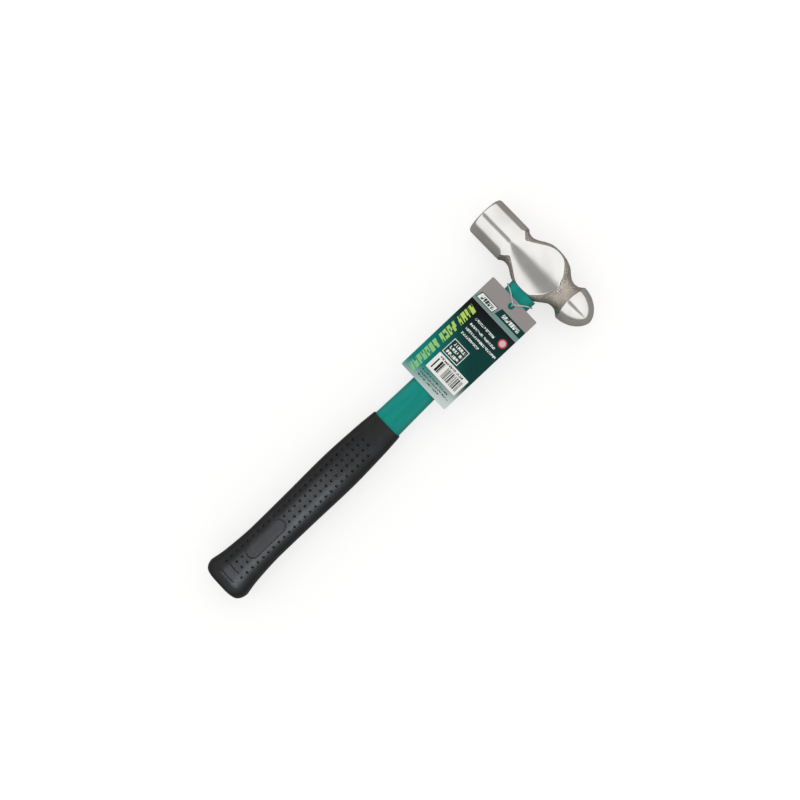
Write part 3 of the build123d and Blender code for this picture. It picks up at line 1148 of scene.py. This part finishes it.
def card_material():
    """Printed and coated card: patches of flat ink on a shaded ground, under a soft gloss."""
    material, tree, shader = new_material("printed_card")
    coordinates = tree.nodes.new("ShaderNodeTexCoord")
    to_card = tree.nodes.new("ShaderNodeMapping")
    to_card.vector_type = "TEXTURE"
    to_card.inputs["Location"].default_value = card_place.translation
    to_card.inputs["Rotation"].default_value = card_place.to_euler("XYZ")
    to_card.inputs["Scale"].default_value = (MM, MM, MM)
    tree.links.new(coordinates.outputs["Object"], to_card.inputs["Vector"])
    place = tree.nodes.new("ShaderNodeSeparateXYZ")
    tree.links.new(to_card.outputs["Vector"], place.inputs[0])
    number = partial(number_node, tree)
    across = number("ADD", place.outputs["X"], CARD_WIDTH / 2)
    down = number("MULTIPLY", place.outputs["Y"], -1)
    height = place.outputs["Z"]

    def patch(left, right, top, bottom, slant=0.0, strokes=WHOLE, seed=0.0, turned=False):
        node = tree.nodes.new("ShaderNodeGroup")
        node.node_tree = printed_patch
        tree.links.new(down if turned else across, node.inputs["Across"])
        tree.links.new(across if turned else down, node.inputs["Down"])
        values = (left, right, top, bottom, slant, *strokes, seed)
        for socket, value in zip(node.inputs[2:], values):
            socket.default_value = value
        return node.outputs["Mask"]

    def ink(ground, mask, colour):
        return mix_colour(tree, mask, ground, colour)

    ramp = partial(between, tree)
    slope = number("ADD", down, number("MULTIPLY", across, 0.35))
    body = ink(BLACK, ramp(slope, 22, 58), DEEP_TEAL)
    body = ink(body, ramp(number("SUBTRACT", down, number("MULTIPLY", across, 0.8)), 24, 74), TEAL)
    body = ink(body, ramp(slope, 78, 100), PALE_GREY)
    page = ink(body, patch(0, 60, -5, 20.0), HEADER_GREY)
    page = ink(page, patch(0, 60, 16.6, 19.4), PALE_TEAL)
    page = ink(page, patch(20.5, 60, 10.7, 16.6, -0.25), DEEP_TEAL)
    page = ink(page, patch(24.0, 40.5, 12.2, 15.1, -0.25, LABEL, 3), WHITE)
    page = ink(page, patch(2.6, 18.6, 12.3, 17.8, -0.25), DEEP_TEAL)
    page = ink(page, patch(3.2, 18.0, 12.8, 17.3, -0.25), WHITE)
    page = ink(page, patch(4.8, 16.6, 13.6, 16.6, -0.25, LABEL, 11), DEEP_TEAL)
    title = ink(LIME, ramp(down, 30, 80), GREEN)
    for start, end in ((22.9, 37.6), (39.8, 54.5), (57.0, 83.2)):
        page = ink(page, patch(start, end, 3.1, 9.5, 0.22, TITLE, start, True), title)
    for top, right in ((28.4, 31.2), (33.3, 36.8), (37.5, 42.0), (41.6, 29.5)):
        page = ink(page, patch(12.5, right, top - 0.8, top + 0.85, 0, WORDS, top), WHITE)
    ring_across = number("POWER", number("SUBTRACT", across, 38.1), 2)
    ring_down = number("POWER", number("SUBTRACT", down, 27.0), 2)
    ring = number("SQRT", number("ADD", ring_across, ring_down))
    in_ring = number("MULTIPLY", number("LESS_THAN", ring, 3.3), number("GREATER_THAN", ring, 2.3))
    page = ink(page, number("LESS_THAN", ring, 2.6), PINK)
    page = ink(page, in_ring, RED)
    page = ink(page, patch(12.9, 27.5, 47.9, 60.3), WHITE)
    page = ink(page, patch(13.4, 27.0, 48.4, 59.8), DEEP_TEAL)
    for top in (49.6, 53.1, 56.6):
        page = ink(page, patch(14.4, 26.0, top, top + 2.2, 0, LABEL, top), WHITE)
    page = ink(page, patch(12.5, 41.2, 61.7, 75.6), WHITE)
    page = ink(page, patch(15.2, 39.9, 65.2, 73.5, 0, BARS, 7), BLACK)
    page = ink(page, patch(15.2, 37.0, 62.8, 64.4, 0, WORDS, 19), BLACK)
    for top, right in ((78.4, 38.0), (80.8, 40.5), (82.9, 33.0)):
        page = ink(page, patch(12.5, right, top - 0.5, top + 0.6, 0, WORDS, top), DEEP_TEAL)
    reverse = ink(WHITE, patch(0, 60, -5, 20.0), PALE_TEAL)
    for line in range(9):
        top = 28 + 4.2 * line
        reverse = ink(reverse, patch(5, 38, top, top + 1.65, 0, WORDS, top), HEADER_GREY)
    coat = ink(reverse, number("GREATER_THAN", height, 0.05), WHITE)
    coat = ink(coat, number("GREATER_THAN", height, CARD_THICKNESS - 0.05), page)
    fibre = add_grain(tree, object_vector(tree), 1300, 3.0, 0.3, 0.7)
    tint = spread_value(tree, fibre.outputs["Mask"], 0.0, 0.02)
    wire_surface(
        tree,
        mix_colour(tree, tint, coat, HEADER_GREY),
        spread_value(tree, fibre.outputs["Mask"], 0.3, 0.42),
        add_bump(tree, fibre.outputs["Height"], 0.00005, 0.5),
    )
    shader.inputs["Specular IOR Level"].default_value = 0.1
    return material


finish_node("hang_tag", card_material())
